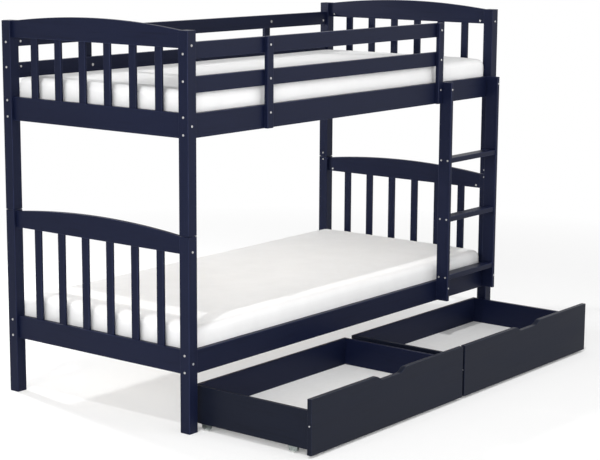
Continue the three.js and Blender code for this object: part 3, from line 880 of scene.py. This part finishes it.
def add_turned(form, centre, axis, profile, sides, hexagon=0.0):
    """A turned form about an axis: profile points are a radius and a height along the axis.
    A radius of None is the hexagon's own, and a radius of 0 closes the form."""
    axis = Vector(axis).normalized()
    first = axis.orthogonal().normalized()
    second = axis.cross(first)
    rings = []
    for radius, height in profile:
        middle = Vector(centre) + axis * height
        if radius == 0:
            rings.append([form.verts.new(middle)])
            continue
        ring = []
        for i in range(sides):
            angle = 2 * math.pi * i / sides
            reach = radius
            if radius is None:
                reach = hexagon / 2 / math.cos((angle % (math.pi / 3)) - math.pi / 6)
            out = first * math.cos(angle) + second * math.sin(angle)
            ring.append(form.verts.new(middle + reach * out))
        rings.append(ring)
    for low_ring, high_ring in zip(rings, rings[1:]):
        for i in range(sides):
            k = (i + 1) % sides
            if len(low_ring) == 1:
                form.faces.new((low_ring[0], high_ring[k], high_ring[i]))
            elif len(high_ring) == 1:
                form.faces.new((low_ring[i], low_ring[k], high_ring[0]))
            else:
                form.faces.new((low_ring[i], low_ring[k], high_ring[k], high_ring[i]))


def add_ear(form, middle, low, high, side, ear_in, seed):
    """A flat ear with two round lower corners, hung from the plate, and one end of the axle."""
    top_z = high.z - ear_in_plate
    outline = [(middle.y + ear_half, top_z), (middle.y - ear_half, top_z)]
    for turn, foot in ((1.0, ear_round - ear_foot), (1.5, ear_foot - ear_round)):
        for i in range(ear_round_steps + 1):
            angle = math.pi * (turn + i / (2 * ear_round_steps))
            outline.append((
                middle.y + foot + ear_round * math.cos(angle),
                low.z + ear_round * (1 + math.sin(angle))))
    x = middle.x + side * ear_in
    points = [Vector((x, y, z)) for y, z in outline]
    through = Vector((side * ear_thickness, 0, 0))
    add_outline(form, points, through, ear_edge, (2, 1, 0), seed, 1)
    out = middle.x + side * (ear_in + ear_thickness - axle_sunk)
    add_turned(form, (out, middle.y, axle_height), (side, 0, 0), axle_head, axle_sides)


def wheel_profile(radius, half):
    """The wheel's section on one face and the other, closed along the bore."""
    hollow = half - wheel_hollow_depth
    face = [
        (wheel_bore, half), (wheel_hub, half), (wheel_hollow[0], hollow), (wheel_hollow[1], hollow),
        (wheel_rim, half)]
    face += [(radius - inset, half - drop) for inset, drop in wheel_shoulder]
    return [(r, -h) for r, h in face] + face[::-1] + [(wheel_bore, -half)]


zinc = make_steel("zinc_steel", (0.47, 0.47, 0.47), 0.36)
castor_zinc = make_steel("castor_steel", (0.34, 0.38, 0.37), 0.32)
nylon, nylon_shader = new_material("grey_nylon", (0.52, 0.54, 0.52), 0.45, 0.45)
nylon_place = add_node(nylon, "ShaderNodeTexCoord")
mottle = add_node(nylon, "ShaderNodeTexNoise", {"Scale": 260.0, "Detail": 3.0})
wire(nylon, (nylon_place.outputs["Object"], mottle.inputs["Vector"]))
mottled = mix_colours(nylon, mottle.outputs["Fac"], nylon_dark, nylon_light)
wire(nylon, (mottled, nylon_shader.inputs["Base Color"]))
make_bump(nylon, nylon_shader, [(mottle.outputs["Fac"], 0.12, 0.0002)])
for drawer in drawer_seeds:
    for number, place in enumerate(castor_places):
        low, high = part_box(f"{drawer}_castor_{place}")
        wheel_low, wheel_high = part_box(f"{drawer}_wheel_{place}")
        middle = (low + high) / 2
        half = (wheel_high.x - wheel_low.x) / 2
        form = new_form()
        plate_low = (low.x, low.y, high.z - plate_thickness)
        add_board(form, plate_low, high, plate_edge, number, 2)
        for side in (-1, 1):
            add_ear(form, middle, low, high, side, half + ear_clear, number)
        make_piece(
            f"bracket_{drawer}_{place}", form, drawer, castor_zinc,
            [f"{drawer}_castor_{place}"])
        form = new_form()
        profile = wheel_profile((wheel_high.z - wheel_low.z) / 2, half)
        add_turned(form, (middle.x, middle.y, axle_height), (1, 0, 0), profile, wheel_sides)
        make_piece(
            f"tyre_{drawer}_{place}", form, f"{drawer}_wheel_{number + 1}", nylon,
            [f"{drawer}_wheel_{place}"])

# Bolts: zinc joint bolts with hexagon sockets hold the rails to the posts, the stiles to the
# rails and the treads to the ladder's sides. Each rail bolt ends in a barrel nut in the rail's
# inner face, which the ledger hides for the lower bolts of the side rails.
head_sunk = 0.0006
bolt_across = 0.0095
seam_bolt_across = 0.008
ladder_bolt_across = 0.0088
socket_share = 0.42
bolt_sides = 24
nut_across = 0.010
stile_nut_across = 0.012
nut_sides = 20
post_across = 0.046
guard_level = 1.2
end_levels = (1.406, 1.308, 1.1785, 1.1144, 0.2976, 0.2332)
end_nut_levels = (1.406, 1.308, 1.1785, 0.2976)
end_nut_x = 0.981
side_rail_inner_y = 0.451
face_levels = (1.436, 1.146, 0.6855, 0.2659)
face_bolt_x = 1.026
face_nut_x = 1.015
face_nut_y = 0.412
seam_levels = (0.7615, 0.7294)
stile_levels = (1.417, 1.290, 1.1605)
tread_bolts_in = (0.0128, 0.0458)
ladder_levels = (1.161, 0.283)


def add_bolt(form, place, out, size=bolt_across):
    """A flat round head with a hexagon socket, let into the lacquer."""
    r = size / 2
    add_turned(form, Vector(place) - Vector(out) * head_sunk, out, [
        (r, 0.0), (r, 0.0011), (r - 0.0006, 0.0017), (r * 0.62, 0.0018), (None, 0.0016),
        (None, 0.0008), (0, 0.0007)], bolt_sides, size * socket_share)


def add_nut(form, place, out, size=nut_across):
    """The end of a barrel nut, dished round its slot."""
    r = size / 2
    add_turned(form, Vector(place) - Vector(out) * head_sunk, out, [
        (r, 0.0), (r, 0.0009), (r - 0.0005, 0.0012), (r * 0.5, 0.0011), (0, 0.0007)], nut_sides)


bed_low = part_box("upper_post_front_left")[0]
bed_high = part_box("upper_post_back_right")[1]
bed_middle = (bed_low.y + bed_high.y) / 2
end_x = bed_high.x
front_y = (bed_high.y - bed_low.y) / 2
post_line_y = front_y - post_across / 2
bolts = new_form()
nuts = new_form()
for side_x, side in ((-1, "left"), (1, "right")):
    for side_y, face in ((-1, "front"), (1, "back")):
        post_y = bed_middle + side_y * post_line_y
        inner_y = bed_middle + side_y * side_rail_inner_y
        for z in end_levels:
            if face == "front" and side == "right" and z > guard_level:
                continue
            add_bolt(bolts, (side_x * end_x, post_y, z), (side_x, 0, 0))
            if z in end_nut_levels:
                add_nut(nuts, (side_x * end_nut_x, inner_y, z), (0, -side_y, 0))
        for z in face_levels:
            face_place = (side_x * face_bolt_x, bed_middle + side_y * front_y, z)
            add_bolt(bolts, face_place, (0, side_y, 0))
            nut_place = (side_x * face_nut_x, bed_middle + side_y * face_nut_y, z)
            add_nut(nuts, nut_place, (-side_x, 0, 0))
        for z in seam_levels:
            seam_place = (side_x * (end_x - post_across), post_y, z)
            add_bolt(bolts, seam_place, (-side_x, 0, 0), seam_bolt_across)
        stile_low, stile_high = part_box(f"guard_stile_{face}_{side}")
        stile_x = (stile_low.x + stile_high.x) / 2
        stile_y = stile_low.y if face == "front" else stile_high.y
        for z in stile_levels:
            add_bolt(bolts, (stile_x, stile_y, z), (0, side_y, 0))
            add_nut(nuts, (stile_x, inner_y, z), (0, -side_y, 0), stile_nut_across)
for side, out in (("left", -1), ("right", 1)):
    low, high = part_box(f"ladder_rail_{side}")
    x = low.x if out < 0 else high.x
    for step in (1, 2, 3):
        tread_low, tread_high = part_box(f"ladder_tread_{step}")
        z = (tread_low.z + tread_high.z) / 2
        for bolt_in in tread_bolts_in:
            add_bolt(bolts, (x, low.y + bolt_in, z), (out, 0, 0), ladder_bolt_across)
    for z in ladder_levels:
        add_bolt(bolts, ((low.x + high.x) / 2, low.y, z), (0, -1, 0), ladder_bolt_across)
make_piece("bolts", bolts, "bed", zinc)
make_piece("barrel_nuts", nuts, "bed", zinc)

# Drawer screws: small zinc screws, one driven into each end of the front boards and two
# through each castor plate.
front_screw_level = 0.118
front_screw_across = 0.007
plate_screw_across = 0.006
plate_screw_shares = (0.13, 0.87)
for drawer in drawer_seeds:
    low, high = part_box(f"{drawer}_front")
    form = new_form()
    for x, out in ((low.x, -1), (high.x, 1)):
        screw_place = (x, (low.y + high.y) / 2, front_screw_level)
        add_nut(form, screw_place, (out, 0, 0), front_screw_across)
    for place in castor_places:
        low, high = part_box(f"{drawer}_castor_{place}")
        for share in plate_screw_shares:
            y = low.y + share * (high.y - low.y)
            screw_place = ((low.x + high.x) / 2, y, high.z - plate_thickness)
            add_nut(form, screw_place, (0, 0, -1), plate_screw_across)
    make_piece(f"screws_{drawer}", form, drawer, zinc)
